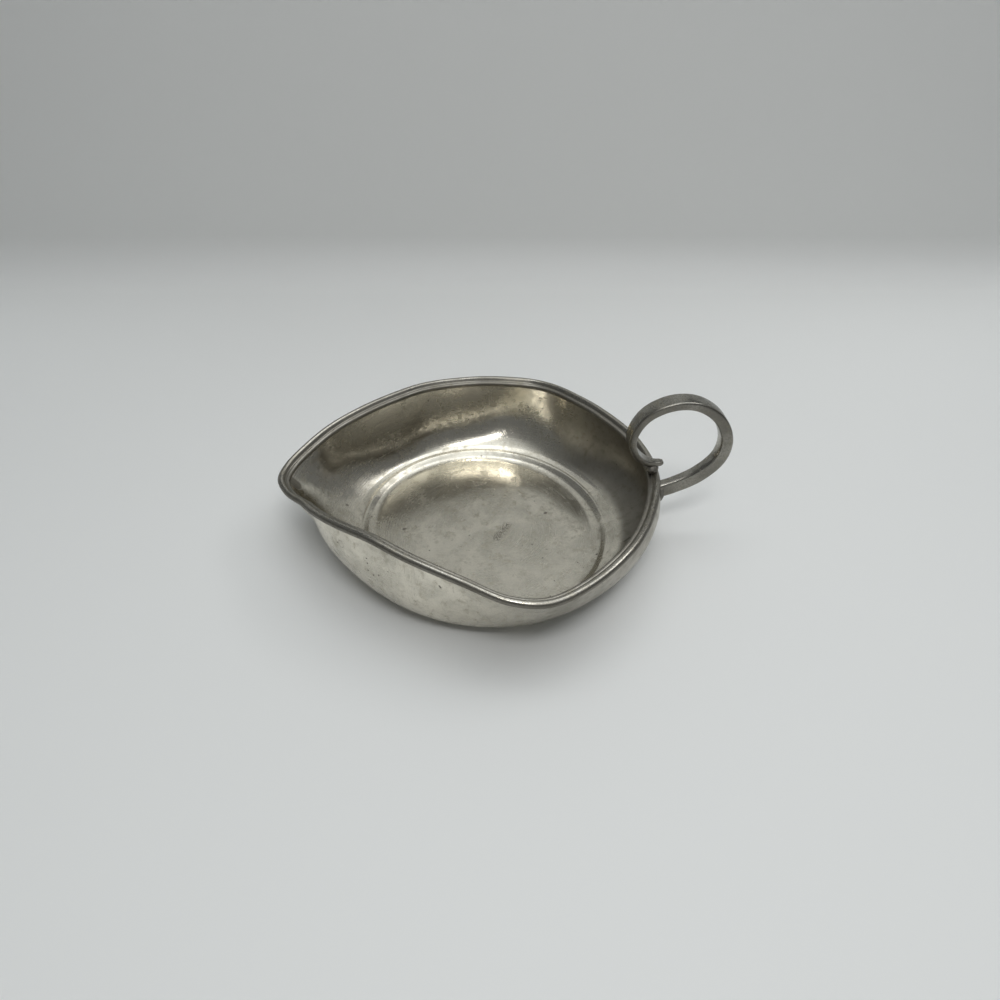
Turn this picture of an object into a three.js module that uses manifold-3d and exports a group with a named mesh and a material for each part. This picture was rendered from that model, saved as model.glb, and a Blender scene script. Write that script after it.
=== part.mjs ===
// Pewter nappy: a small spun bowl pinched into a three-cornered pouring shape, with one ring handle.
// Millimetres. +X points at the handle, -X at the pouring lip, +Z up.
// The origin is the middle of the foot, on the surface that the bowl stands on.
import * as THREE from 'three';
import { mergeVertices } from 'three/addons/utils/BufferGeometryUtils.js';
import Module from 'manifold-3d';

const wasm = await Module();
wasm.setup();

// Driving dimensions
const SHEET = 1.5; // thickness of the spun sheet
const FIT_GAP = 0.3; // clearance between two soldered pieces
const ROUND_STATIONS = 96; // sections round the bowl
const WALL_STEPS = 8; // steps up each side of the wall
const FOOT_STEPS = 3; // steps round each curve of the foot

// Foot and floor: radii before the pinch pulled them slightly oval
// FLOOR_STEP is the step up from the floor to the wall, as [radius, height]
const FLOOR_STEP = [[40.3, 1.5], [42.4, 1.62], [44.4, 2.2], [45.7, 3.05], [46.6, 3.6], [47.6, 3.82]];
const FOOT_FLAT_RADIUS = 44.0;
const FOOT_CORNER = [46.6, 0.1];
const FOOT_TOP = [47.3, 2.15];
const OVAL_ALONG = -0.76;
const OVAL_ACROSS = -1.25;

// Wall: from its root at the foot round a belly, which follows the pinched sides, and up into the rim wire
const WALL_ROOT = [48.7, 2.43];
const WALL_RISE = [1.83, 1.02]; // from the root
const WALL_BELLY_IN = 0.79; // from the wall's shoulder
const WALL_BELLY_UP = 5.88; // from the root
const WALL_TOP_OUT = 0.7; // the wall's edge, from the middle of the rim wire
const WALL_TOP_DROP = 0.7;
const WALL_TOP_REACH = 11.0; // from the wall's edge down to its shoulder
const WALL_START = 0.12; // where the inner face begins, as a share of the wall

// The hand-pinched rim: [degrees round from the handle, radius, height, lean of the wall into the bowl]
const RIM_STATIONS = [
  [0, 60.7, 28.5, 0.59],
  [20, 59.1, 29.5, 0.56],
  [40, 57.8, 30.4, 0.05],
  [52, 59.0, 30.2, -0.1],
  [62, 61.8, 29.4, -0.2],
  [71, 63.1, 29.0, -0.22],
  [82, 61.3, 29.7, -0.02],
  [95, 58.1, 31.4, 0.12],
  [115, 56.9, 32.5, 0.18],
  [130, 56.0, 33.0, 0.18],
  [145, 58.4, 32.3, 0.09],
  [157, 63.3, 30.2, -0.15],
  [167, 68.2, 27.3, -0.55],
  [174, 71.5, 25.5, -0.87],
  [180, 72.1, 25.0, -0.94],
  [187, 68.4, 25.6, -0.62],
  [195, 62.6, 27.4, -0.28],
  [204, 59.6, 30.1, 0.03],
  [216, 56.2, 32.9, 0.21],
  [230, 53.1, 34.1, 0.35],
  [245, 53.2, 33.4, 0.25],
  [265, 57.3, 31.8, -0.13],
  [278, 63.5, 29.8, -0.54],
  [288, 66.2, 29.0, -0.66],
  [300, 65.1, 29.4, -0.46],
  [320, 62.5, 30.2, -0.05],
  [340, 60.6, 29.5, 0.36],
];

// Reeded rim wire: a large bead outside, a small one inside and lower
const OUTER_BEAD = { out: 1.04, up: 0.4, radius: 1.32, from: 128, to: -62, steps: 6 };
const INNER_BEAD = { out: -1.09, up: -0.52, radius: 0.98, from: 250, to: 62, steps: 5 };

// Ring handle: [out, up, width, thickness] from the rim wire at the handle, root to tail
const HANDLE_PATH = [
  [3.5, -8.0, 3.8, 5.6],
  [8.7, -6.4, 3.8, 5.6],
  [17.4, -1.9, 4.2, 5.5],
  [23.7, 5.2, 4.9, 4.9],
  [24.8, 13.2, 5.4, 4.3],
  [20.5, 22.5, 6.2, 3.8],
  [12.1, 28.5, 6.5, 3.2],
  [3.0, 29.1, 6.5, 3.0],
  [-5.3, 24.8, 6.2, 2.8],
  [-9.1, 16.8, 5.9, 2.6],
  [-7.5, 10.2, 6.0, 2.3],
  [-3.2, 5.8, 4.6, 2.0],
  [0.0, 4.7, 2.9, 1.7],
  [2.4, 4.5, 2.8, 1.6],
  [3.5, 4.8, 1.7, 0.9],
];
const HANDLE_STATIONS = 60;
const HANDLE_TURN = THREE.MathUtils.degToRad(6); // the ring is soldered on slightly askew
const EDGE_BEVEL = 0.28; // share of the thickness taken by each worn edge

// Solder: [out, up] of each lump from the rim wire, and its half sizes [out, across, up]
const UPPER_SOLDER = { at: [-0.3, 2.4], size: [2.4, 2.7, 1.9] };
const LOWER_SOLDER = { at: [4.2, -9.4], size: [1.6, 2.9, 3.8] };
const LUMP_SEGMENTS = 16;

const PEWTER = { color: 0xa6a198, metalness: 1.0, roughness: 0.3 };
const WORN_PEWTER = { color: 0x8d8980, metalness: 1.0, roughness: 0.38 };
const SOLDER_METAL = { color: 0x9c9a94, metalness: 1.0, roughness: 0.5 };

// One closed solid from rings of points, its ends capped or, for a loop, joined to each other
function loft(rings, isLoop = false) {
  const count = rings[0].length;
  const points = rings.flat();
  const triangles = [];
  const pairs = isLoop ? rings.length : rings.length - 1;
  for (let ring = 0; ring < pairs; ring += 1) {
    const here = ring * count;
    const there = ((ring + 1) % rings.length) * count;
    for (let step = 0; step < count; step += 1) {
      const next = (step + 1) % count;
      triangles.push(here + step, here + next, there + next, here + step, there + next, there + step);
    }
  }
  if (!isLoop) {
    triangles.push(...capTriangles(points, 0, count, true));
    triangles.push(...capTriangles(points, (rings.length - 1) * count, count, false));
  }
  const geometry = new THREE.BufferGeometry();
  const positions = points.flatMap((point) => point.toArray());
  geometry.setAttribute('position', new THREE.Float32BufferAttribute(positions, 3));
  geometry.setIndex(facingOut(points, triangles));
  return geometry;
}

// A fan of triangles from the middle of one ring, added to the points
function capTriangles(points, start, count, isFirst) {
  const ring = points.slice(start, start + count);
  const middle = ring.reduce((sum, point) => sum.add(point), new THREE.Vector3()).divideScalar(count);
  const centre = points.push(middle) - 1;
  const triangles = [];
  for (let step = 0; step < count; step += 1) {
    const here = start + step;
    const next = start + ((step + 1) % count);
    triangles.push(...(isFirst ? [centre, next, here] : [centre, here, next]));
  }
  return triangles;
}

// The triangles as they are, or turned over where they enclose a negative volume
function facingOut(points, triangles) {
  let volume = 0;
  for (let i = 0; i < triangles.length; i += 3) {
    const [a, b, c] = triangles.slice(i, i + 3).map((index) => points[index]);
    volume += a.dot(b.clone().cross(c));
  }
  return volume > 0 ? triangles : triangles.toReversed();
}

function toSolid(geometry) {
  const bare = geometry.clone();
  bare.deleteAttribute('normal');
  bare.deleteAttribute('uv');
  const merged = mergeVertices(bare);
  const vertProperties = new Float32Array(merged.attributes.position.array);
  const triVerts = new Uint32Array(merged.index.array);
  return new wasm.Manifold(new wasm.Mesh({ numProp: 3, vertProperties, triVerts }));
}

function toGeometry(solid) {
  const { vertProperties, triVerts } = solid.getMesh();
  const geometry = new THREE.BufferGeometry();
  geometry.setAttribute('position', new THREE.Float32BufferAttribute(vertProperties, 3));
  geometry.setIndex(Array.from(triVerts));
  return geometry;
}

// A point at a radius and height on the half-plane at an angle round the bowl
function around(angle, radius, height) {
  return new THREE.Vector3(radius * Math.cos(angle), radius * Math.sin(angle), height);
}

// Evenly spaced places round the rim: the angle, radius and height of the wire's middle, and the lean
function rimPlaces() {
  const knots = RIM_STATIONS.map(([degrees, radius, height]) =>
    around(THREE.MathUtils.degToRad(degrees), radius, height));
  const leans = RIM_STATIONS.map(([, , , lean]) => new THREE.Vector3(lean, 0, 0));
  const path = new THREE.CatmullRomCurve3(knots, true);
  const leanPath = new THREE.CatmullRomCurve3(leans, true, 'catmullrom');
  const places = [];
  for (let station = 0; station < ROUND_STATIONS; station += 1) {
    const share = path.getUtoTmapping(station / ROUND_STATIONS);
    const point = path.getPoint(share);
    places.push({
      angle: Math.atan2(point.y, point.x),
      radius: Math.hypot(point.x, point.y),
      height: point.z,
      lean: leanPath.getPoint(share).x,
    });
  }
  return places;
}

function ovalShift(angle) {
  return OVAL_ALONG * Math.cos(2 * angle) + OVAL_ACROSS * Math.sin(2 * angle);
}

// A point on the Bezier curve of some control points, and the curve's direction there
function bezier(controls, share) {
  let points = controls;
  while (points.length > 2) {
    const earlier = points;
    points = earlier.slice(1).map((point, index) => earlier[index].clone().lerp(point, share));
  }
  const [before, after] = points;
  return { point: before.clone().lerp(after, share), along: after.clone().sub(before).normalize() };
}

// Control points of the wall's outer face at one place, from the foot up into the rim wire
function wallControls({ angle, radius, height, lean }) {
  const root = new THREE.Vector2(WALL_ROOT[0] + ovalShift(angle), WALL_ROOT[1]);
  const rise = new THREE.Vector2(root.x + WALL_RISE[0], root.y + WALL_RISE[1]);
  const top = new THREE.Vector2(radius + WALL_TOP_OUT, height - WALL_TOP_DROP);
  const shoulder = new THREE.Vector2(top.x + WALL_TOP_REACH * lean, top.y - WALL_TOP_REACH);
  const belly = new THREE.Vector2(shoulder.x - WALL_BELLY_IN, root.y + WALL_BELLY_UP);
  return [root, rise, belly, shoulder, top];
}

// Square to a direction of the wall, towards the inside of the bowl
function inwardOf(along) {
  return new THREE.Vector2(-along.y, along.x);
}

// The sheet's closed section at one place, from the floor up, over the edge and down to the foot.
// A positive grow makes the sheet thicker on both faces.
function sheetSection(place, grow) {
  const shift = ovalShift(place.angle);
  const spot = ([radius, height]) => new THREE.Vector2(radius + shift, height);
  const controls = wallControls(place);
  const edge = new THREE.Vector2(Infinity, place.height - WALL_TOP_DROP + grow);
  const outer = [];
  const inner = [];
  for (let step = 0; step <= WALL_STEPS; step += 1) {
    const { point, along } = bezier(controls, step / WALL_STEPS);
    outer.unshift(point.addScaledVector(inwardOf(along), -grow));
    const within = bezier(controls, THREE.MathUtils.lerp(WALL_START, 1, step / WALL_STEPS));
    inner.push(within.point.addScaledVector(inwardOf(within.along), SHEET + grow).min(edge));
  }
  const floorStep = FLOOR_STEP.map(([radius, height]) => spot([radius, height + grow]));
  const foot = new THREE.QuadraticBezierCurve(
    spot([FOOT_TOP[0], FOOT_TOP[1] - grow]),
    spot([FOOT_CORNER[0], FOOT_CORNER[1] - grow]),
    spot([FOOT_FLAT_RADIUS, -grow]),
  );
  return [...floorStep, ...inner, ...outer, ...foot.getPoints(FOOT_STEPS)];
}

function bowlGeometry(places, grow = 0) {
  const sections = places.map((place) => sheetSection(place, grow));
  const rings = sections[0].map((_, row) => sections.map((section, index) =>
    around(places[index].angle, section[row].x, section[row].y)));
  return loft(rings);
}

// Points on one bead of the wire's section, clockwise from its first angle to its last
function beadPoints(bead, grow) {
  const points = [];
  for (let step = 0; step <= bead.steps; step += 1) {
    const degrees = THREE.MathUtils.lerp(bead.from, bead.to, step / bead.steps);
    const turn = THREE.MathUtils.degToRad(degrees);
    const radius = bead.radius + grow;
    points.push([bead.out + radius * Math.cos(turn), bead.up + radius * Math.sin(turn)]);
  }
  return points;
}

function rimGeometry(places, grow = 0) {
  const section = [...beadPoints(INNER_BEAD, grow), ...beadPoints(OUTER_BEAD, grow)];
  const rings = places.map(({ angle, radius, height }) =>
    section.map(([out, up]) => around(angle, radius + out, height + up)));
  return loft(rings, true);
}

// From the handle's own plane, with x out and z up from the rim wire, to the bowl
function handlePlacement() {
  const [, radius, height] = RIM_STATIONS[0];
  return new THREE.Matrix4().makeTranslation(radius, 0, height)
    .multiply(new THREE.Matrix4().makeRotationZ(HANDLE_TURN));
}

// The bar's section: a flat strip with bevelled edges, [across, through] from its middle
function barSection(width, thickness) {
  const bevel = EDGE_BEVEL * Math.min(width, thickness);
  const across = width / 2;
  const through = thickness / 2;
  return [
    [across, through - bevel],
    [across - bevel, through],
    [bevel - across, through],
    [-across, through - bevel],
    [-across, bevel - through],
    [bevel - across, -through],
    [across - bevel, -through],
    [across, bevel - through],
  ];
}

function handleGeometry(grow = 0) {
  const middles = HANDLE_PATH.map(([out, up]) => new THREE.Vector3(out, 0, up));
  const girths = HANDLE_PATH.map(([, , width, thickness]) => new THREE.Vector3(width, thickness, 0));
  const path = new THREE.CatmullRomCurve3(middles);
  const girth = new THREE.CatmullRomCurve3(girths, false, 'catmullrom');
  const rings = [];
  for (let station = 0; station <= HANDLE_STATIONS; station += 1) {
    const along = station / HANDLE_STATIONS;
    const middle = path.getPoint(along);
    const tangent = path.getTangent(along);
    const normal = new THREE.Vector3(-tangent.z, 0, tangent.x);
    const { x: width, y: thickness } = girth.getPoint(along);
    const section = barSection(width + 2 * grow, thickness + 2 * grow);
    rings.push(section.map(([across, through]) =>
      middle.clone().addScaledVector(normal, through).setY(across)));
  }
  return loft(rings).applyMatrix4(handlePlacement());
}

// A lump of solder before it is cut: a rounded blob at the foot or the tail of the handle
function solderBlob({ at: [out, up], size: [halfOut, halfAcross, halfUp] }) {
  return new THREE.SphereGeometry(1, LUMP_SEGMENTS, LUMP_SEGMENTS / 2)
    .scale(halfOut, halfAcross, halfUp)
    .translate(out, 0, up)
    .applyMatrix4(handlePlacement());
}

// A piece cut back from the pieces that it is soldered to
function cutBack(geometry, neighbours) {
  return toGeometry(neighbours.reduce((solid, neighbour) => solid.subtract(neighbour), toSolid(geometry)));
}

function piece(name, geometry, finish) {
  const mesh = new THREE.Mesh(geometry, new THREE.MeshStandardMaterial({ ...finish, flatShading: true }));
  mesh.name = name;
  return mesh;
}

function buildNappy() {
  const places = rimPlaces();
  const bowlSpace = toSolid(bowlGeometry(places, FIT_GAP));
  const rimSpace = toSolid(rimGeometry(places, FIT_GAP));
  const handleSpace = toSolid(handleGeometry(FIT_GAP));
  const soldered = [bowlSpace, rimSpace, handleSpace];
  const nappy = new THREE.Group();
  nappy.add(
    piece('bowl_body', cutBack(bowlGeometry(places), [rimSpace]), PEWTER),
    piece('rim_wire', rimGeometry(places), PEWTER),
    piece('ring_handle', cutBack(handleGeometry(), [bowlSpace, rimSpace]), WORN_PEWTER),
    piece('solder_upper', cutBack(solderBlob(UPPER_SOLDER), soldered), SOLDER_METAL),
    piece('solder_lower', cutBack(solderBlob(LOWER_SOLDER), soldered), SOLDER_METAL),
  );
  return nappy;
}

export default buildNappy();
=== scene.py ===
"""Looks of a small pewter nappy: a pinched bowl with a beaded rim and a ring handle."""
import math

import bpy
from mathutils import Matrix, Vector, noise


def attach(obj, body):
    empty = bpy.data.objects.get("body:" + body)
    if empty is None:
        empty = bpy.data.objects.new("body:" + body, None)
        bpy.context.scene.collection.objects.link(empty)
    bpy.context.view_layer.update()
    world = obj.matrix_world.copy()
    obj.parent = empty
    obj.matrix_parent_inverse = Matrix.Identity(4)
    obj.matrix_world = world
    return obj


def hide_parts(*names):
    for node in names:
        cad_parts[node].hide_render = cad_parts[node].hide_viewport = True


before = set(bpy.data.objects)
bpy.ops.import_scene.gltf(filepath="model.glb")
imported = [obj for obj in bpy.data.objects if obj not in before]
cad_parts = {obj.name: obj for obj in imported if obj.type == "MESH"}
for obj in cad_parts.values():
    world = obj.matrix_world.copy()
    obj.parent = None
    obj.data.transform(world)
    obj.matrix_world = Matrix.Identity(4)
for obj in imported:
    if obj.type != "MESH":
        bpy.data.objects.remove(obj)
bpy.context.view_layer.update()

MM = 0.001

# The bowl's own measures, in millimetres, as in the CAD source
SHEET = 1.5
FLOOR_STEP = [(40.3, 1.5), (42.4, 1.62), (44.4, 2.2), (45.7, 3.05), (46.6, 3.6), (47.6, 3.82)]
FOOT_FLAT_RADIUS = 44.0
FOOT_CORNER = (46.6, 0.1)
FOOT_TOP = (47.3, 2.15)
OVAL_ALONG = -0.76
OVAL_ACROSS = -1.25
WALL_ROOT = (48.7, 2.43)
WALL_RISE = (1.83, 1.02)
WALL_BELLY_IN = 0.79
WALL_BELLY_UP = 5.88
WALL_TOP_OUT = 0.7
WALL_TOP_DROP = 0.7
WALL_TOP_REACH = 11.0
WALL_START = 0.12

# The pinched rim: degrees round from the handle, radius, height, lean of the wall into the bowl
RIM_STATIONS = [
    (0, 60.7, 28.5, 0.59),
    (20, 59.1, 29.5, 0.56),
    (40, 57.8, 30.4, 0.05),
    (52, 59.0, 30.2, -0.1),
    (62, 61.8, 29.4, -0.2),
    (71, 63.1, 29.0, -0.22),
    (82, 61.3, 29.7, -0.02),
    (95, 58.1, 31.4, 0.12),
    (115, 56.9, 32.5, 0.18),
    (130, 56.0, 33.0, 0.18),
    (145, 58.4, 32.3, 0.09),
    (157, 63.3, 30.2, -0.15),
    (167, 68.2, 27.3, -0.55),
    (174, 71.5, 25.5, -0.87),
    (180, 72.1, 25.0, -0.94),
    (187, 68.4, 25.6, -0.62),
    (195, 62.6, 27.4, -0.28),
    (204, 59.6, 30.1, 0.03),
    (216, 56.2, 32.9, 0.21),
    (230, 53.1, 34.1, 0.35),
    (245, 53.2, 33.4, 0.25),
    (265, 57.3, 31.8, -0.13),
    (278, 63.5, 29.8, -0.54),
    (288, 66.2, 29.0, -0.66),
    (300, 65.1, 29.4, -0.46),
    (320, 62.5, 30.2, -0.05),
    (340, 60.6, 29.5, 0.36),
]
OUTER_BEAD = {"out": 1.04, "up": 0.4, "radius": 1.32, "start": 128, "end": -62, "polish": 1.0}
INNER_BEAD = {"out": -1.09, "up": -0.52, "radius": 0.98, "start": 250, "end": 62, "polish": 0.35}

# The ring handle: out and up from the rim wire, width, thickness
HANDLE_PATH = [
    (3.5, -8.0, 3.8, 5.6),
    (8.7, -6.4, 3.8, 5.6),
    (17.4, -1.9, 4.2, 5.5),
    (23.7, 5.2, 4.9, 4.9),
    (24.8, 13.2, 5.4, 4.3),
    (20.5, 22.5, 6.2, 3.8),
    (12.1, 28.5, 6.5, 3.2),
    (3.0, 29.1, 6.5, 3.0),
    (-5.3, 24.8, 6.2, 2.8),
    (-9.1, 16.8, 5.9, 2.6),
    (-7.5, 10.2, 6.0, 2.3),
    (-3.2, 5.8, 4.6, 2.0),
    (0.0, 4.7, 2.9, 1.7),
    (2.4, 4.5, 2.8, 1.6),
    (3.5, 4.8, 1.7, 0.9),
]
HANDLE_TURN = math.radians(6)

# How finely the meshes are cut, and the step along the wall that gives its slope
ROUND_STEPS = 480
WALL_STEPS = 44
CURVE_STEPS = 10
FLOOR_RINGS = 14
STEP_STEPS = 6
BEAD_STEPS = 24
GROOVE_STEPS = 6
HANDLE_STEPS = 320
EDGE_STEPS = 4
SLOPE_STEP = 0.001

# The groove between the beads, and the bar's rounded edges as a share of its smaller side
GROOVE_DEEP = (-0.3, 0.55)
BAR_EDGE = 0.22

# Soil and painted shade on the metal, from 0 to 1. A painted shadow lies under the rim and by the
# foot, and its reach from there is in millimetres. The groove is darker in its middle. The beads'
# crests stay bright, and their sides get tarnish and painted shade. The bar's sides get painted
# shade. A painted dark reflection is on the wall near the handle. It fades between two angles from
# its middle, and over the wall's lowest rows.
PAINTED_SHADOW_REACH = 1.2
GROOVE_DARKENING = 0.6
# Tarnish and painted shade on the beads' sides, by which way they face
BEAD_TARNISH_AND_SHADE = 0.7
BEAD_BRIGHT = (0.6, 0.95)
# Painted shade on the bar's side faces and their edges
BAR_SIDE_SHADE = 0.5
BAR_SIDE_SHADE_POWER = 4
SOLDER_SOIL = 0.3
# A painted dark reflection on the wall near the handle, inside and, weaker, outside
PAINTED_DARK_REFLECTION = 0.8
OUTER_DARK_REFLECTION = 0.7
DARK_REFLECTION_MIDDLE = math.radians(-12)
DARK_REFLECTION_ENDS = (math.radians(48), math.radians(76))
DARK_REFLECTION_RISE = 8

# How long the grain is round the bowl and along the bar, and how wide between the bar's points
GRAIN_ROUND = 340
HANDLE_LENGTH = 130
BAR_GRAIN = 0.9

# The lumps of solder: middle and half sizes, out, across and up from the rim wire
UPPER_SOLDER = ((-0.3, 0, 2.4), (2.4, 2.7, 1.9))
LOWER_SOLDER = ((4.2, 0, -9.4), (1.6, 2.9, 3.8))
LUMP_ROWS = 24
LUMP_STEPS = 40
LUMP_SWELL = 0.12
LUMP_KNOBS = 2.5

# Marks on the bowl's sheet, with one painted dark reflection: a soft smudge on the floor, and dark spots
# as start, end and radius. The last two are a painted dark reflection in the tip and the short split
# low on the wall. A core is the share of the radius inside which a mark has its full strength.
FLOOR_BRUISE = ((5.0, -5.4, 1.5), (8.8, 1.8, 1.5))
BRUISE_REACH = 3.2
BRUISE_CORE = 0.05
SPOT_CORE = 0.5
DARK_SPOTS = [
    ((-30.6, -0.4, 1.5), (-30.3, -0.2, 1.5), 0.9),
    ((-54.5, 12.9, 14), (-54.2, 13.1, 14), 0.9),
    ((23.8, 8.9, 1.5), (24.1, 9.1, 1.5), 0.8),
    ((41.8, -14.9, 1.6), (42.1, -14.7, 1.6), 0.8),
    ((-52.9, 7.4, 6.9), (-52.7, 7.5, 6.9), 0.8),
    ((-12.4, -54.5, 26.8), (-12.0, -54.5, 26.2), 0.45),
    # A painted dark reflection in the tip
    ((-70.2, 1.6, 23.4), (-68.4, 1.4, 21.4), 2.6),
    ((51.7, -12.4, 6.3), (53.6, -11.5, 7.2), 0.6),
]
ROUND_MARK = ((-45.8, -34.8, 26.0), 1.3)
ROUND_MARK_WIDTH = 0.35
ROUND_MARK_SHARE = 0.5

# Patterns in the metal: features per millimetre, fineness, and the range of the noise that shows
DULLNESS = {"scale": 0.07, "detail": 4.0, "span": (0.36, 0.66)}
SMUDGES = {"scale": 0.35, "detail": 6.0, "span": (0.42, 0.78)}
SPECKLES = {"scale": 2.2, "detail": 3.0, "span": (0.44, 0.62)}
STAINS = {"scale": 0.7, "detail": 6.0, "span": (0.66, 0.72)}
BRUISE = {"scale": 2.2, "detail": 3.0, "span": (0.36, 0.6)}
DENTS = {"scale": 0.12, "detail": 2.0, "span": (0.3, 0.7)}
CLOUD_ROUGHNESS = 0.6
GRAIN_DETAIL = 5.0
GRAIN_SPAN = (0.3, 0.7)

# Pits: how many per millimetre, and their radius and soft edge as shares of a cell
PIT_SCALE = 0.55
PIT_RADIUS = 0.22
PIT_EDGE = 0.06

# Straight scratches run at two turns in degrees, and wavy ones up and down the wall. Each kind has
# its features per millimetre along and across, fineness, line width, and where its lines break.
SCRATCH_TURNS = (35, -50)
STRAIGHT_LINES = {"stretch": (0.05, 0.6, 0.6), "detail": 3.0, "width": (0.002, 0.008)}
STRAIGHT_BREAKS = {"scale": 0.16, "detail": 4.0, "span": (0.5, 0.62)}
WAVY_LINES = {"stretch": (0.5, 0.06, 1), "detail": 2.0, "width": (0.003, 0.012)}
WAVY_BREAKS = {"scale": 0.12, "detail": 4.0, "span": (0.48, 0.6)}

# Depths of the marks in the metal, in millimetres
GRAIN_DEPTH = 0.001
DENT_DEPTH = 0.005
PIT_DEPTH = 0.02
SCRATCH_DEPTH = 0.004

# The metals: clean and dull colour, roughness, the grain's features per millimetre, pits and specks
METALS = {
    "spun_pewter": {
        "clean": (0.82, 0.775, 0.67),
        "dull": (0.61, 0.58, 0.5),
        "roughness": 0.16,
        "grain": (0.02, 1.6, 1),
        "pitted": 0.12,
        "speckled": 0.08,
    },
    "rim_pewter": {
        "clean": (0.52, 0.495, 0.44),
        "dull": (0.37, 0.35, 0.305),
        "roughness": 0.2,
        "grain": (0.05, 2.2, 1),
        "pitted": 0.06,
        "speckled": 0.55,
    },
    "handle_pewter": {
        "clean": (0.47, 0.455, 0.41),
        "dull": (0.24, 0.23, 0.205),
        "roughness": 0.17,
        "grain": (0.08, 2.4, 1),
        "pitted": 0.06,
        "speckled": 0.7,
    },
    "solder_metal": {
        "clean": (0.34, 0.33, 0.3),
        "dull": (0.22, 0.21, 0.19),
        "roughness": 0.35,
        "grain": (0.6, 0.6, 1),
        "pitted": 0.3,
        "speckled": 0.6,
    },
}

# Colours of what lies on the metal, and how much of each shows at most
SMUDGE_COLOR = (0.42, 0.385, 0.3)
SPECKLE_COLOR = (0.2, 0.19, 0.165)
SOIL_AND_SHADE_COLOR = (0.13, 0.12, 0.1)
SMUDGE_SHARE = 0.6
SCRATCH_SHARE = 0.45
SOIL_AND_SHADE_SHARE = 0.85
DAMAGE_AND_SHADE_SHARE = 0.8

# What the patterns add to the roughness
DULL_ROUGHNESS = 0.1
GRAIN_ROUGHNESS = (-0.03, 0.05)
SMUDGE_ROUGHNESS = 0.12
SOIL_AND_SHADE_ROUGHNESS = 0.25

# The room's light changes between two elevations in degrees, round an axis that leans: its azimuth,
# and its angle from straight up
ROOM_RISE = (48, 82)
ROOM_LEAN = (20, 9)
ROOM_STRENGTH = (0.14, 1.36)
ROOM_COLOR = (0.96, 1.0, 1.02)

# The lamps: name, azimuth and elevation in degrees, distance, size in millimetres, strength
LAMPS = [
    ("overhead", 90, 80, 640, (560, 160), 1.0),
    ("key", 280, 61, 600, (250, 90), 12.0),
    ("side", 22, 50, 700, (420, 160), 2.4),
]

# The table and its backdrop, in millimetres: near edge, half width, the backdrop's place and half
# width, and the height and half width of the backdrop's upper parts
TABLE_NEAR = -900
TABLE_HALF = 420
BACKDROP_AT = 240
BACKDROP_HALF = 340
BACKDROP_TOP = [(150, 340), (190, 170), (400, 150)]
SWEEP_RADIUS = 25
SWEEP_STEPS = 12
TABLE_COLOR = (0.855, 0.86, 0.845)
TABLE_ROUGHNESS = 0.6

# The camera stands where the photograph was taken: millimetres, degrees
CAMERA_AT = (6.15, -213.74, 194.46)
CAMERA_TILT = 50.08
CAMERA_LENS = 27.04
CAMERA_SENSOR = 36
CAMERA_NEAR = 0.01


def spline_point(points, place, closed, even):
    """A point on a Catmull-Rom curve, with place from 0 to 1: centripetal, or even between the points."""
    count = len(points)
    along = place * (count if closed else count - 1)
    index = min(int(along), count - 1 if closed else count - 2)
    weight = along - index
    p1 = points[index]
    p2 = points[(index + 1) % count]
    if closed:
        p0 = points[index - 1]
        p3 = points[(index + 2) % count]
    else:
        p0 = points[index - 1] if index > 0 else 2 * points[0] - points[1]
        p3 = points[index + 2] if index + 2 < count else 2 * points[-1] - points[-2]
    if even:
        start = 0.5 * (p2 - p0)
        end = 0.5 * (p3 - p1)
    else:
        t0 = math.sqrt((p1 - p0).length)
        t1 = math.sqrt((p2 - p1).length)
        t2 = math.sqrt((p3 - p2).length)
        start = ((p1 - p0) / t0 - (p2 - p0) / (t0 + t1) + (p2 - p1) / t1) * t1
        end = ((p2 - p1) / t1 - (p3 - p1) / (t1 + t2) + (p3 - p2) / t2) * t1
    square = weight * weight
    cube = square * weight
    return (
        p1 * (2 * cube - 3 * square + 1)
        + start * (cube - 2 * square + weight)
        + p2 * (3 * square - 2 * cube)
        + end * (cube - square)
    )


def rise(value, low, high):
    """A smooth change from 0 to 1 as the value goes from low to high."""
    share = min(1, max(0, (value - low) / (high - low)))
    return share * share * (3 - 2 * share)


def around(angle, radius, height):
    return Vector((radius * math.cos(angle), radius * math.sin(angle), height))


def bezier(points, place):
    """A point on a Bezier curve through its control points, with place from 0 to 1."""
    while len(points) > 1:
        points = [a.lerp(b, place) for a, b in zip(points, points[1:])]
    return points[0]


def rim_places():
    """The angle, radius and height of the rim wire's middle and the wall's lean, all the way round."""
    knots = [around(math.radians(degrees), radius, height) for degrees, radius, height, _ in RIM_STATIONS]
    leans = [Vector((lean, 0, 0)) for _, _, _, lean in RIM_STATIONS]
    places = []
    for step in range(ROUND_STEPS):
        along = step / ROUND_STEPS
        point = spline_point(knots, along, closed=True, even=False)
        lean = spline_point(leans, along, closed=True, even=True).x
        places.append((math.atan2(point.y, point.x), math.hypot(point.x, point.y), point.z, lean))
    return places


def oval_shift(angle):
    return OVAL_ALONG * math.cos(2 * angle) + OVAL_ACROSS * math.sin(2 * angle)


def wall_controls(angle, radius, height, lean):
    """The control points of the wall's outer face at one place, as (radius, height)."""
    root = Vector((WALL_ROOT[0] + oval_shift(angle), WALL_ROOT[1]))
    top = Vector((radius + WALL_TOP_OUT, height - WALL_TOP_DROP))
    shoulder = top + WALL_TOP_REACH * Vector((lean, -1))
    belly = Vector((shoulder.x - WALL_BELLY_IN, root.y + WALL_BELLY_UP))
    return [root, root + Vector(WALL_RISE), belly, shoulder, top]


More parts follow.
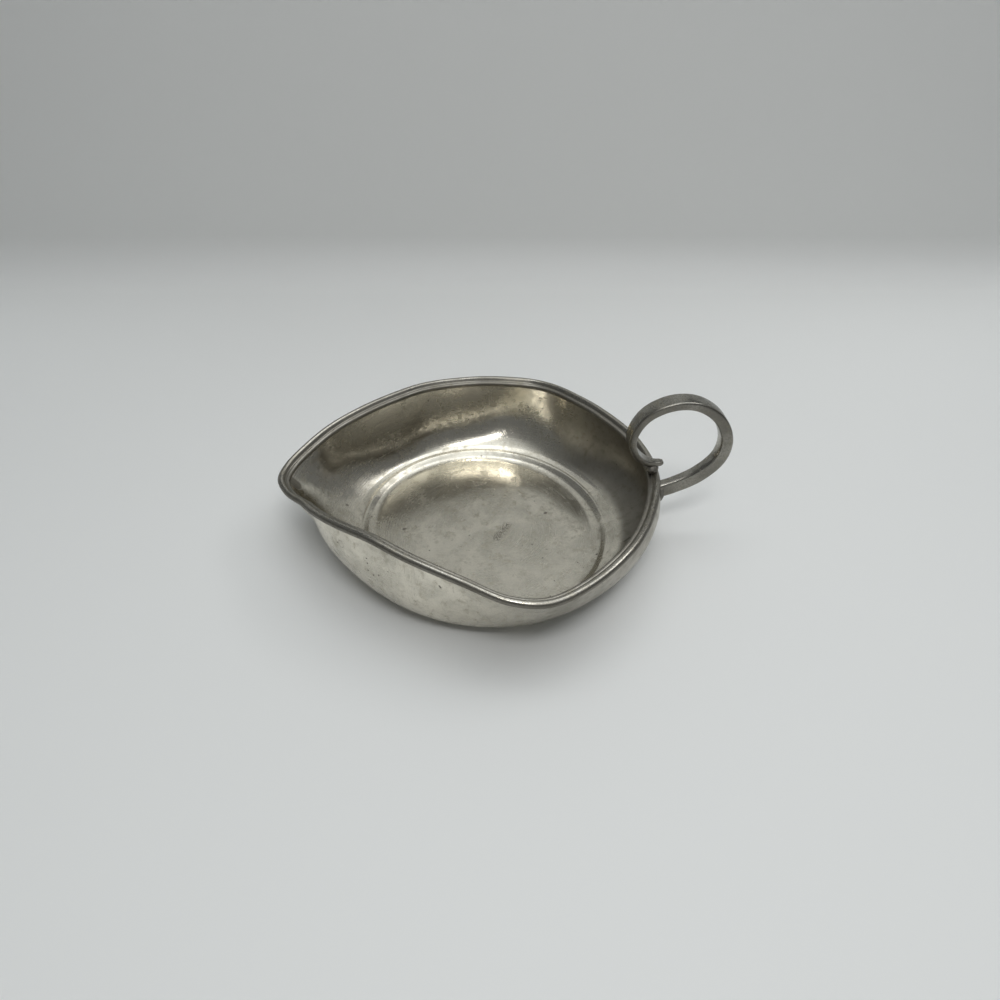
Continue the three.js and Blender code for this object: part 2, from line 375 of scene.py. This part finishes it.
def sheet_section(place):
    """The sheet's section at one place, from the middle of the floor round to the middle of the foot."""
    shift = oval_shift(place[0])

    def spot(pair):
        return Vector((pair[0] + shift, pair[1]))

    controls = wall_controls(*place)

    def inner_face(share):
        ahead = bezier(controls, share + SLOPE_STEP)
        along = (ahead - bezier(controls, share - SLOPE_STEP)).normalized()
        return bezier(controls, share) + SHEET * Vector((-along.y, along.x))

    outer = [bezier(controls, step / WALL_STEPS) for step in range(WALL_STEPS + 1)]
    inner = [inner_face(WALL_START + (1 - WALL_START) * step / WALL_STEPS) for step in range(WALL_STEPS + 1)]
    knots = [spot(pair) for pair in FLOOR_STEP] + [inner[0]]
    spans = STEP_STEPS * (len(knots) - 1)
    floor_step = [spline_point(knots, step / spans, closed=False, even=False) for step in range(spans)]
    foot = [spot(FOOT_TOP), spot(FOOT_CORNER), spot((FOOT_FLAT_RADIUS, 0))]
    floor_edge = floor_step[0].x
    section = [Vector((floor_edge * ring / FLOOR_RINGS, SHEET)) for ring in range(1, FLOOR_RINGS)]
    section += floor_step
    section += inner
    section += reversed(outer)
    section += [bezier(foot, step / CURVE_STEPS) for step in range(CURVE_STEPS + 1)]
    return section


def mesh_piece(name, vertices, faces, node, material):
    """A smooth-shaded object that stands for one CAD node.

    Each vertex is its point in millimetres, its place along and across the metal's grain, and its soil and
    painted shade.
    """
    mesh = bpy.data.meshes.new(name)
    mesh.from_pydata([tuple(vertex[0] * MM) for vertex in vertices], [], faces)
    mesh.shade_smooth()
    grain = mesh.attributes.new("grain", "FLOAT_VECTOR", "POINT")
    grain.data.foreach_set("vector", [number for vertex in vertices for number in (*vertex[1], 0)])
    soil_and_shade = mesh.attributes.new("soil_and_shade", "FLOAT", "POINT")
    soil_and_shade.data.foreach_set("value", [vertex[2] for vertex in vertices])
    piece = bpy.data.objects.new(name, mesh)
    bpy.context.scene.collection.objects.link(piece)
    mesh.materials.append(material)
    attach(piece, "root")
    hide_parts(node)
    return piece


def ring_faces(ring_count, point_count, ring_loop):
    """Quads between neighbouring rings of points."""
    faces = []
    for ring in range(ring_count if ring_loop else ring_count - 1):
        here = ring * point_count
        there = (ring + 1) % ring_count * point_count
        for step in range(point_count):
            after = (step + 1) % point_count
            faces.append((here + step, here + after, there + after, there + step))
    return faces


def cap_faces(vertices, start, point_count, flip):
    """A fan from the middle of a ring, whose middle point is added to the vertices."""
    ring = vertices[start:start + point_count]
    centre = sum((vertex[0] for vertex in ring), Vector((0, 0, 0))) / point_count
    vertices.append((centre, ring[0][1], ring[0][2]))
    middle = len(vertices) - 1
    faces = []
    for step in range(point_count):
        pair = (start + step, start + (step + 1) % point_count)
        faces.append((middle, *reversed(pair)) if flip else (middle, *pair))
    return faces


def bowl_painted_shade(section, angle):
    """Painted shade along the section: a painted shadow under the rim and by the foot, and a painted dark
    reflection on the wall by the handle.
    """
    wall_start = FLOOR_RINGS - 1 + STEP_STEPS * len(FLOOR_STEP)
    edge_row = wall_start + WALL_STEPS
    edge = section[edge_row]
    aside = math.cos(angle - DARK_REFLECTION_MIDDLE)
    # A painted dark reflection on the wall near the handle
    dark_reflection = PAINTED_DARK_REFLECTION * rise(aside, math.cos(DARK_REFLECTION_ENDS[1]), math.cos(DARK_REFLECTION_ENDS[0]))
    soil_and_shade = []
    for row, point in enumerate(section):
        # A painted shadow under the rim and by the foot
        under_rim = 1 - min(1, (edge - point).length / PAINTED_SHADOW_REACH)
        by_foot = 1 - min(1, math.hypot(point.x - FOOT_TOP[0], point.y - FOOT_TOP[1]) / PAINTED_SHADOW_REACH)
        up_wall = rise(WALL_STEPS - abs(row - edge_row), 0, DARK_REFLECTION_RISE)
        outside = OUTER_DARK_REFLECTION if row > edge_row else 1
        soil_and_shade.append(max(under_rim, by_foot, dark_reflection * up_wall * outside))
    return soil_and_shade


def make_bowl(material):
    places = rim_places()
    sections = [sheet_section(place) for place in places]
    painted_shades = [bowl_painted_shade(section, place[0]) for section, place in zip(sections, places)]
    rows = len(sections[0])
    vertices = []
    for row in range(rows):
        for step, section in enumerate(sections):
            point = around(places[step][0], section[row].x, section[row].y)
            across = section[row].x + section[row].y
            grain = (GRAIN_ROUND * step / ROUND_STEPS, across)
            vertices.append((point, grain, painted_shades[step][row]))
    faces = ring_faces(rows, ROUND_STEPS, ring_loop=False)
    faces += cap_faces(vertices, 0, ROUND_STEPS, flip=True)
    faces += cap_faces(vertices, (rows - 1) * ROUND_STEPS, ROUND_STEPS, flip=False)
    faces = [tuple(reversed(face)) for face in faces]
    return mesh_piece("pinched_bowl", vertices, faces, "bowl_body", material)


def bead_points(bead):
    """Points round one bead with their soil and shade: polished on top, with tarnish and painted shade low
    on its sides.
    """
    points = []
    for step in range(BEAD_STEPS + 1):
        turn = math.radians(bead["start"] + (bead["end"] - bead["start"]) * step / BEAD_STEPS)
        way = Vector((math.cos(turn), math.sin(turn)))
        low, high = BEAD_BRIGHT
        crest = min(1, max(0, (way.y - low) / (high - low)))
        # Tarnish and painted shade on the bead's sides
        soil_and_shade = BEAD_TARNISH_AND_SHADE * (1 - bead["polish"] * crest)
        points.append((Vector((bead["out"], bead["up"])) + bead["radius"] * way, soil_and_shade))
    return points


def rim_section():
    """The wire's section: the inner bead, the groove, darker in its middle, the outer bead, with the soil
    and painted shade at each point.
    """
    inner = bead_points(INNER_BEAD)
    outer = bead_points(OUTER_BEAD)
    groove = []
    for step in range(1, GROOVE_STEPS):
        share = step / GROOVE_STEPS
        point = bezier([inner[-1][0], Vector(GROOVE_DEEP), outer[0][0]], share)
        # The groove is darker in its middle
        groove.append((point, GROOVE_DARKENING * math.sin(math.pi * share)))
    return inner + groove + outer


def make_rim(material):
    section = rim_section()
    vertices = []
    for step, (angle, radius, height, _) in enumerate(rim_places()):
        across = 0
        for row, (point, soil_and_shade) in enumerate(section):
            across += (point - section[row - 1][0]).length if row else 0
            grain = (GRAIN_ROUND * step / ROUND_STEPS, across)
            vertices.append((around(angle, radius + point.x, height + point.y), grain, soil_and_shade))
    faces = ring_faces(ROUND_STEPS, len(section), ring_loop=True)
    return mesh_piece("beaded_rim", vertices, faces, "rim_wire", material)


def handle_frame():
    """From the handle's plane, x out and z up from the rim wire, to the bowl, in millimetres."""
    _, radius, height, _ = RIM_STATIONS[0]
    return Matrix.Translation((radius, 0, height)) @ Matrix.Rotation(HANDLE_TURN, 4, "Z")


def bar_section(width, thickness):
    """The bar's outline, as (across, through): flat faces with rounded, worn edges."""
    across = width / 2
    through = thickness / 2
    edge = BAR_EDGE * min(width, thickness)
    points = []
    for side_x, side_y in ((1, 1), (-1, 1), (-1, -1), (1, -1)):
        corner = []
        for step in range(EDGE_STEPS + 1):
            turn = math.radians(90 * step / EDGE_STEPS)
            corner.append((
                side_x * (across - edge + edge * math.cos(turn)),
                side_y * (through - edge + edge * math.sin(turn)),
            ))
        points += corner if side_x * side_y > 0 else corner[::-1]
    return points


def bar_places():
    """The bar's middle, the way through it, its width and thickness, and the share of its length."""
    middles = [Vector((out, 0, up)) for out, up, _, _ in HANDLE_PATH]
    girths = [Vector((width, thickness, 0)) for _, _, width, thickness in HANDLE_PATH]
    nearby = 0.5 / HANDLE_STEPS
    places = []
    for step in range(HANDLE_STEPS + 1):
        along = step / HANDLE_STEPS
        middle = spline_point(middles, along, closed=False, even=False)
        ahead = spline_point(middles, min(along + nearby, 1), closed=False, even=False)
        behind = spline_point(middles, max(along - nearby, 0), closed=False, even=False)
        tangent = (ahead - behind).normalized()
        girth = spline_point(girths, along, closed=False, even=True)
        places.append((middle, Vector((-tangent.z, 0, tangent.x)), girth, along))
    return places


def make_handle(material):
    placing = handle_frame()
    vertices = []
    for middle, normal, girth, along in bar_places():
        for index, (across, through) in enumerate(bar_section(girth.x, girth.y)):
            point = placing @ (middle + normal * through + Vector((0, across, 0)))
            # Painted shade, darkest on the bar's side faces and their edges
            side_shade = BAR_SIDE_SHADE * abs(2 * across / girth.x) ** BAR_SIDE_SHADE_POWER
            vertices.append((point, (HANDLE_LENGTH * along, index * BAR_GRAIN), side_shade))
    count = len(bar_section(1, 1))
    faces = ring_faces(HANDLE_STEPS + 1, count, ring_loop=False)
    faces += cap_faces(vertices, 0, count, flip=True)
    faces += cap_faces(vertices, HANDLE_STEPS * count, count, flip=False)
    return mesh_piece("ring_bar", vertices, faces, "ring_handle", material)


def make_solder(name, centre, size, node, material):
    """A rough lump of solder. Its middle and half sizes are out, across and up in the handle's plane."""
    placing = handle_frame()
    vertices = []
    for row in range(LUMP_ROWS):
        slope = math.pi * (row + 0.5) / LUMP_ROWS
        for step in range(LUMP_STEPS):
            turn = 2 * math.pi * step / LUMP_STEPS
            way = around(turn, math.sin(slope), math.cos(slope))
            swell = 1 + LUMP_SWELL * noise.noise(way * LUMP_KNOBS + Vector(centre))
            point = Vector(centre) + Vector([way[axis] * size[axis] * swell for axis in range(3)])
            vertices.append((placing @ point, (step, row), SOLDER_SOIL))
    faces = ring_faces(LUMP_ROWS, LUMP_STEPS, ring_loop=False)
    faces += cap_faces(vertices, 0, LUMP_STEPS, flip=True)
    faces += cap_faces(vertices, (LUMP_ROWS - 1) * LUMP_STEPS, LUMP_STEPS, flip=False)
    faces = [tuple(reversed(face)) for face in faces]
    return mesh_piece(name, vertices, faces, node, material)


def add(tree, kind, inputs=None, **settings):
    """A new shader node, whose inputs are plain values or other nodes' outputs."""
    node = tree.nodes.new("ShaderNode" + kind)
    for name, value in settings.items():
        setattr(node, name, value)
    for key, value in (inputs or {}).items():
        if isinstance(value, bpy.types.NodeSocket):
            tree.links.new(value, node.inputs[key])
        else:
            node.inputs[key].default_value = value
    return node


def calculate(tree, operation, *values):
    return add(tree, "Math", dict(enumerate(values)), operation=operation).outputs[0]


def fade(tree, value, low, high, at_low, at_high):
    """A smooth change from at_low to at_high as the value goes from low to high."""
    inputs = {"Value": value, "From Min": low, "From Max": high, "To Min": at_low, "To Max": at_high}
    return add(tree, "MapRange", inputs, interpolation_type="SMOOTHSTEP").outputs["Result"]


def eased(tree, value, most):
    """A share from 0 to 1 that is smoothed and scaled to at most the given number."""
    return fade(tree, value, 0, 1, 0, most)


def stretched(tree, place, scale, turn=0.0):
    """The place scaled along each axis, after a turn about Z in degrees."""
    turned = add(tree, "Mapping", {"Vector": place, "Rotation": (0, 0, math.radians(turn))})
    return add(tree, "VectorMath", {0: turned.outputs[0], 1: scale}, operation="MULTIPLY").outputs[0]


def cloud(tree, place, scale, detail):
    """Soft noise, with its scale in features per millimetre."""
    inputs = {"Vector": place, "Scale": scale, "Detail": detail, "Roughness": CLOUD_ROUGHNESS}
    return add(tree, "TexNoise", inputs).outputs[0]


def patches(tree, place, scale, detail, span, most=1):
    """A share from 0 to most, as soft noise goes from one end of a range to the other."""
    return fade(tree, cloud(tree, place, scale, detail), *span, 0, most)


def blend(tree, share, first, second):
    inputs = {"Factor": share, 6: first, 7: second}
    return add(tree, "Mix", inputs, data_type="RGBA").outputs[2]


def pits(tree, place, share):
    """Small round pits in some cells of a scattered pattern: 1 in a pit's middle."""
    cells = add(tree, "TexVoronoi", {"Vector": place, "Scale": PIT_SCALE})
    draw = add(tree, "SeparateColor", {"Color": cells.outputs["Color"]}).outputs[0]
    radius = fade(tree, draw, 1 - share, 1, 0, PIT_RADIUS)
    depth = calculate(tree, "SUBTRACT", radius, cells.outputs["Distance"])
    return fade(tree, depth, 0, PIT_EDGE, 0, 1)


def broken_lines(tree, place, detail, width, shown):
    """Thin lines where soft noise passes its middle, kept only where shown: 1 along a line."""
    off_line = calculate(tree, "SUBTRACT", cloud(tree, place, 1.0, detail), 0.5)
    line = fade(tree, calculate(tree, "ABSOLUTE", off_line), *width, 1, 0)
    return calculate(tree, "MULTIPLY", line, shown)


def scratches(tree, place, grain):
    """Straight scratches that mostly run two ways, and wavy ones up and down the bowl's wall."""
    grain_patches = stretched(tree, grain, (WAVY_BREAKS["scale"], WAVY_BREAKS["scale"], 1))
    shown = patches(tree, grain_patches, 1.0, WAVY_BREAKS["detail"], WAVY_BREAKS["span"])
    wavy = stretched(tree, grain, WAVY_LINES["stretch"])
    found = broken_lines(tree, wavy, WAVY_LINES["detail"], WAVY_LINES["width"], shown)
    shown = patches(tree, place, **STRAIGHT_BREAKS)
    for turn in SCRATCH_TURNS:
        straight = stretched(tree, place, STRAIGHT_LINES["stretch"], turn)
        lines = broken_lines(tree, straight, STRAIGHT_LINES["detail"], STRAIGHT_LINES["width"], shown)
        found = calculate(tree, "MAXIMUM", found, lines)
    return found


def near_line(tree, place, start, end, radius, core=SPOT_CORE):
    """1 close to a line between two points in millimetres, fading from its core to 0 at the radius."""
    start = Vector(start)
    run = Vector(end) - start
    ahead = add(tree, "VectorMath", {0: place, 1: start}, operation="SUBTRACT").outputs[0]
    share = add(tree, "VectorMath", {0: ahead, 1: run / run.length_squared}, operation="DOT_PRODUCT")
    held = add(tree, "Clamp", {"Value": share.outputs["Value"]}).outputs[0]
    foot = add(tree, "VectorMath", {0: run, "Scale": held}, operation="SCALE").outputs[0]
    distance = add(tree, "VectorMath", {0: ahead, 1: foot}, operation="DISTANCE").outputs["Value"]
    return fade(tree, distance, radius * core, radius, 1, 0)


def round_mark(tree, place):
    """The print of something round and small on the outside of the wall."""
    centre, radius = ROUND_MARK
    distance = add(tree, "VectorMath", {0: place, 1: centre}, operation="DISTANCE").outputs["Value"]
    off_line = calculate(tree, "ABSOLUTE", calculate(tree, "SUBTRACT", distance, radius))
    return fade(tree, off_line, 0, ROUND_MARK_WIDTH, ROUND_MARK_SHARE, 0)


def bowl_marks(tree, place):
    """The damage that is particular to this bowl's sheet, and a painted dark reflection in its tip."""
    bruised = near_line(tree, place, *FLOOR_BRUISE, BRUISE_REACH, BRUISE_CORE)
    damage_and_shade = calculate(tree, "MULTIPLY", bruised, patches(tree, place, **BRUISE))
    for start, end, radius in DARK_SPOTS:
        damage_and_shade = calculate(tree, "MAXIMUM", damage_and_shade, near_line(tree, place, start, end, radius))
    return calculate(tree, "MAXIMUM", damage_and_shade, round_mark(tree, place))


def small_stains(tree, place):
    """Specks of old dirt, for the pieces that have no marks of their own."""
    return patches(tree, place, **STAINS)


def metal_patterns(tree, look, marks):
    """What lies on and in the metal: shares from 0 to 1, and the dents in millimetres."""
    own = add(tree, "TexCoord").outputs["Object"]
    place = add(tree, "VectorMath", {0: own, "Scale": 1 / MM}, operation="SCALE").outputs[0]
    grain = add(tree, "Attribute", attribute_name="grain").outputs["Vector"]
    pitting = pits(tree, place, look["pitted"])
    return {
        "soil_and_shade": add(tree, "Attribute", attribute_name="soil_and_shade").outputs["Fac"],
        "dull": patches(tree, place, **DULLNESS),
        "smudges": patches(tree, place, **SMUDGES),
        "grain": cloud(tree, stretched(tree, grain, look["grain"]), 1.0, GRAIN_DETAIL),
        "speckles": patches(tree, place, **SPECKLES, most=look["speckled"]),
        "scratches": scratches(tree, place, grain),
        "damage_and_shade": calculate(tree, "MAXIMUM", pitting, marks(tree, place)),
        "dents": patches(tree, place, **DENTS, most=DENT_DEPTH),
    }


def metal_color(tree, look, found):
    """The clean and dull metal under its smudges, specks, scratches, soil, damage and painted shade."""
    color = blend(tree, found["dull"], (*look["clean"], 1), (*look["dull"], 1))
    color = blend(tree, eased(tree, found["smudges"], SMUDGE_SHARE), color, (*SMUDGE_COLOR, 1))
    color = blend(tree, found["speckles"], color, (*SPECKLE_COLOR, 1))
    color = blend(tree, eased(tree, found["scratches"], SCRATCH_SHARE), color, (*SMUDGE_COLOR, 1))
    color = blend(tree, eased(tree, found["soil_and_shade"], SOIL_AND_SHADE_SHARE), color, (*SOIL_AND_SHADE_COLOR, 1))
    return blend(tree, eased(tree, found["damage_and_shade"], DAMAGE_AND_SHADE_SHARE), color, (*SOIL_AND_SHADE_COLOR, 1))


def metal_roughness(tree, look, found):
    """Rougher where the metal is dull, smudged, soiled, damaged or under painted shade, and streaky along
    the grain.
    """
    dull = fade(tree, found["dull"], 0, 1, look["roughness"], look["roughness"] + DULL_ROUGHNESS)
    rough = calculate(tree, "ADD", dull, fade(tree, found["grain"], *GRAIN_SPAN, *GRAIN_ROUGHNESS))
    rough = calculate(tree, "ADD", rough, eased(tree, found["smudges"], SMUDGE_ROUGHNESS))
    dirt_and_shade = calculate(tree, "MAXIMUM", found["damage_and_shade"], found["soil_and_shade"])
    return calculate(tree, "ADD", rough, eased(tree, dirt_and_shade, SOIL_AND_SHADE_ROUGHNESS))


def metal_relief(tree, found):
    """The surface's small heights in millimetres, as a bump."""
    relief = fade(tree, found["grain"], *GRAIN_SPAN, 0, GRAIN_DEPTH)
    relief = calculate(tree, "ADD", relief, found["dents"])
    relief = calculate(tree, "SUBTRACT", relief, eased(tree, found["damage_and_shade"], PIT_DEPTH))
    relief = calculate(tree, "SUBTRACT", relief, eased(tree, found["scratches"], SCRATCH_DEPTH))
    return add(tree, "Bump", {"Height": relief, "Strength": 1.0, "Distance": MM}).outputs[0]


def pewter(name, marks):
    """Old pewter with the look that METALS gives it, and the marks of one kind of piece."""
    material = bpy.data.materials.new(name)
    material.use_nodes = True
    tree = material.node_tree
    look = METALS[name]
    found = metal_patterns(tree, look, marks)
    shader = tree.nodes["Principled BSDF"]
    shader.inputs["Metallic"].default_value = 1
    tree.links.new(metal_color(tree, look, found), shader.inputs["Base Color"])
    tree.links.new(metal_roughness(tree, look, found), shader.inputs["Roughness"])
    tree.links.new(metal_relief(tree, found), shader.inputs["Normal"])
    return material


def make_stage():
    """A pale table that sweeps up into a pale backdrop, which narrows higher up."""
    rows = [(TABLE_NEAR, 0, TABLE_HALF), (0, 0, TABLE_HALF)]
    for step in range(SWEEP_STEPS + 1):
        turn = math.radians(90 * step / SWEEP_STEPS)
        rows.append((
            BACKDROP_AT - SWEEP_RADIUS * (1 - math.sin(turn)),
            SWEEP_RADIUS * (1 - math.cos(turn)),
            TABLE_HALF + (BACKDROP_HALF - TABLE_HALF) * step / SWEEP_STEPS,
        ))
    rows += [(BACKDROP_AT, height, half) for height, half in BACKDROP_TOP]
    vertices = [Vector((x, y, z)) for y, z, half in rows for x in (-half, half)]
    faces = [(2 * i, 2 * i + 1, 2 * i + 3, 2 * i + 2) for i in range(len(rows) - 1)]
    mesh = bpy.data.meshes.new("table_sweep")
    mesh.from_pydata([tuple(vertex * MM) for vertex in vertices], [], faces)
    mesh.shade_smooth()
    stage = bpy.data.objects.new("table_sweep", mesh)
    bpy.context.scene.collection.objects.link(stage)
    material = bpy.data.materials.new("pale_table")
    material.use_nodes = True
    shader = material.node_tree.nodes["Principled BSDF"]
    shader.inputs["Base Color"].default_value = (*TABLE_COLOR, 1)
    shader.inputs["Roughness"].default_value = TABLE_ROUGHNESS
    mesh.materials.append(material)


def area_light(name, azimuth, elevation, distance, size, strength):
    """A soft oval lamp that faces the bowl, as bright to look at as a world of its strength."""
    data = bpy.data.lights.new(name, "AREA")
    data.shape = "ELLIPSE"
    data.size, data.size_y = (side * MM for side in size)
    area = math.pi / 4 * data.size * data.size_y
    data.energy = strength * math.pi * area
    lamp = bpy.data.objects.new(name, data)
    bpy.context.scene.collection.objects.link(lamp)
    flat = distance * math.cos(math.radians(elevation))
    height = distance * math.sin(math.radians(elevation))
    lamp.location = around(math.radians(azimuth), flat, height) * MM
    lamp.rotation_euler = (-lamp.location).to_track_quat("-Z", "Y").to_euler()


def light_scene():
    """A room that is dim low down and pale overhead, with soft lamps."""
    world = bpy.data.worlds.new("room")
    bpy.context.scene.world = world
    world.use_nodes = True
    tree = world.node_tree
    way = add(tree, "TexCoord").outputs["Generated"]
    azimuth, lean = (math.radians(degrees) for degrees in ROOM_LEAN)
    up = around(azimuth, math.sin(lean), math.cos(lean))
    height = add(tree, "VectorMath", {0: way, 1: up}, operation="DOT_PRODUCT").outputs["Value"]
    low, high = (math.sin(math.radians(elevation)) for elevation in ROOM_RISE)
    strength = fade(tree, height, low, high, *ROOM_STRENGTH)
    background = tree.nodes["Background"]
    background.inputs["Color"].default_value = (*ROOM_COLOR, 1)
    tree.links.new(strength, background.inputs["Strength"])
    for lamp in LAMPS:
        area_light(*lamp)


def make_camera():
    data = bpy.data.cameras.new("camera")
    data.lens = CAMERA_LENS
    data.sensor_width = CAMERA_SENSOR
    data.clip_start = CAMERA_NEAR
    camera = bpy.data.objects.new("camera", data)
    bpy.context.scene.collection.objects.link(camera)
    camera.location = Vector(CAMERA_AT) * MM
    camera.rotation_euler = (math.radians(CAMERA_TILT), 0, 0)
    bpy.context.scene.camera = camera


make_camera()
make_bowl(pewter("spun_pewter", bowl_marks))
make_rim(pewter("rim_pewter", small_stains))
make_handle(pewter("handle_pewter", small_stains))
solder_look = pewter("solder_metal", small_stains)
make_solder("upper_solder", *UPPER_SOLDER, "solder_upper", solder_look)
make_solder("lower_solder", *LOWER_SOLDER, "solder_lower", solder_look)
make_stage()
light_scene()
bpy.context.scene.view_settings.view_transform = "Standard"
